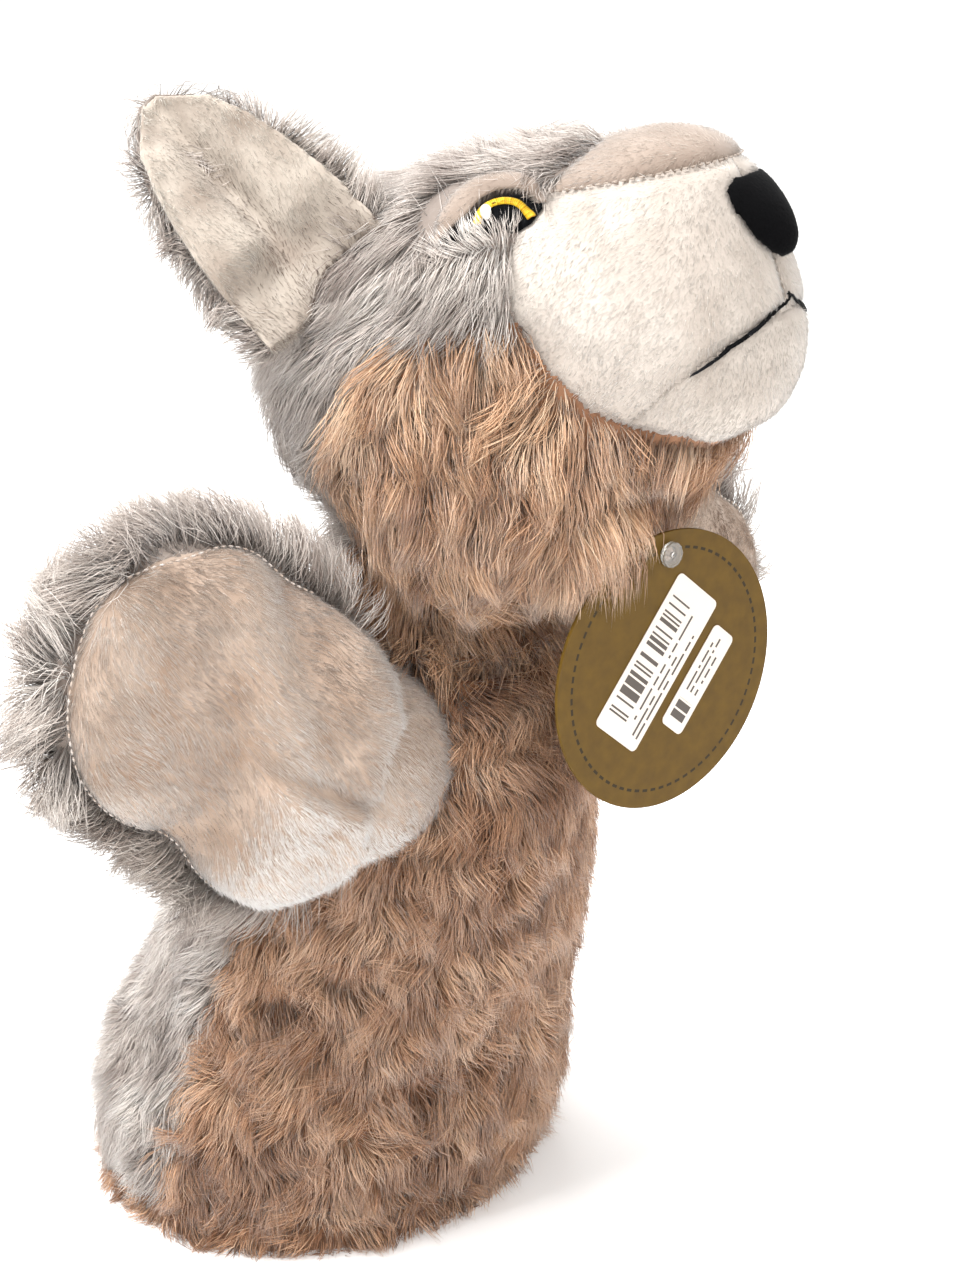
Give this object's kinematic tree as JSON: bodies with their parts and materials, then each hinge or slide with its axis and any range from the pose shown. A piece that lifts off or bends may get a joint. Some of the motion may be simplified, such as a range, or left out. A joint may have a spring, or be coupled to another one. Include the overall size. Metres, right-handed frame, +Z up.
{
  "type": "hand puppet",
  "caption": "Plush wolf hand puppet with a fabric sleeve body, a padded turning head, mitten arms, stand-up ears and a round hang tag.",
  "frame": {"origin": "centre of the sleeve's hem opening, on the plane where the hem ends", "axes": "+Z up the sleeve, puppet faces -Y, +X is the puppet's left"},
  "size_m": [0.2106, 0.1607, 0.2481],
  "materials": {
    "tan_fur": "long tan-brown faux fur pile, combed, sheened tips",
    "grey_fur": "long warm-grey faux fur pile with lighter tips",
    "cream_plush": "short cream minky plush with a brushed nap",
    "taupe_plush": "short taupe minky plush",
    "ear_plush": "short pale plush lining",
    "black_plush": "short dense black plush",
    "black_thread": "black satin-stitch embroidery",
    "gold_thread": "yellow satin-stitch embroidery",
    "white_thread": "white satin-stitch embroidery",
    "lining_cloth": "plain woven lining",
    "fibre_filling": "loose polyester fibre filling",
    "tag_card": "printed olive-brown card, satin",
    "label_paper": "coated label paper with plain printed bars",
    "clear_plastic": "moulded tagging barb"
  },
  "bodies": {
    "torso": {"body_front": "tan_fur", "body_back": "grey_fur", "hem_binding": "tan_fur", "hand_lining": "lining_cloth", "neck_cuff": "tan_fur", "shoulder_front_left": "cream_plush", "shoulder_front_right": "cream_plush", "shoulder_back_left": "grey_fur", "shoulder_back_right": "grey_fur"},
    "neck": {"neck_lining": "lining_cloth"},
    "head": {"head_crown": "grey_fur", "cheek_ruff_left": "tan_fur", "cheek_ruff_right": "tan_fur", "muzzle_bridge": "taupe_plush", "muzzle_left": "cream_plush", "muzzle_right": "cream_plush", "chin": "cream_plush", "head_filling": "fibre_filling", "head_finger_pocket": "lining_cloth", "nose": "black_plush", "mouth_stitch": "black_thread", "eye_patch_left": "black_thread", "iris_left": "gold_thread", "eye_glint_left": "white_thread", "eyelid_left": "taupe_plush", "eye_patch_right": "black_thread", "iris_right": "gold_thread", "eye_glint_right": "white_thread", "eyelid_right": "taupe_plush", "tag_barb": "clear_plastic"},
    "arm_left": {"arm_back_left": "grey_fur", "palm_left": "cream_plush", "arm_filling_left": "fibre_filling", "arm_finger_pocket_left": "lining_cloth"},
    "arm_right": {"arm_back_right": "grey_fur", "palm_right": "cream_plush", "arm_filling_right": "fibre_filling", "arm_finger_pocket_right": "lining_cloth"},
    "ear_left": {"ear_lining_left": "ear_plush", "ear_back_left": "grey_fur"},
    "ear_right": {"ear_lining_right": "ear_plush", "ear_back_right": "grey_fur"},
    "tag": {"tag_card": "tag_card", "tag_label_large": "label_paper", "tag_label_small": "label_paper"}
  },
  "joints": [
    {"name": "head_turn", "type": "hinge", "parent": "torso", "child": "neck", "pos_m": [0, -0.032, 0.146], "axis": [0, 0, 1], "range_deg": [-30, 30]},
    {"name": "head_nod", "type": "hinge", "parent": "neck", "child": "head", "pos_m": [0, -0.032, 0.146], "axis": [1, 0, 0], "range_deg": [-12, 18]},
    {"name": "arm_left_swing", "type": "hinge", "parent": "torso", "child": "arm_left", "pos_m": [0.037, -0.031, 0.115], "axis": [0, 0, 1], "range_deg": [-18, 16]},
    {"name": "arm_right_swing", "type": "hinge", "parent": "torso", "child": "arm_right", "pos_m": [-0.037, -0.031, 0.115], "axis": [0, 0, -1], "range_deg": [-22, 10]},
    {"name": "ear_left_flop", "type": "hinge", "parent": "head", "child": "ear_left", "pos_m": [0.0355, -0.02225, 0.21378], "axis": [0.2696, 0.6258, -0.7319], "range_deg": [-20, 4], "stiffness_Nm_per_rad": 0.01},
    {"name": "ear_right_flop", "type": "hinge", "parent": "head", "child": "ear_right", "pos_m": [-0.0355, -0.02225, 0.21378], "axis": [-0.6287, 0.4733, -0.617], "range_deg": [-10, 12], "stiffness_Nm_per_rad": 0.01},
    {"name": "tag_swing", "type": "hinge", "parent": "head", "child": "tag", "pos_m": [-0.007, -0.0865, 0.16], "axis": [-0.342, -0.9397, 0], "range_deg": [-20, 20]}
  ]
}
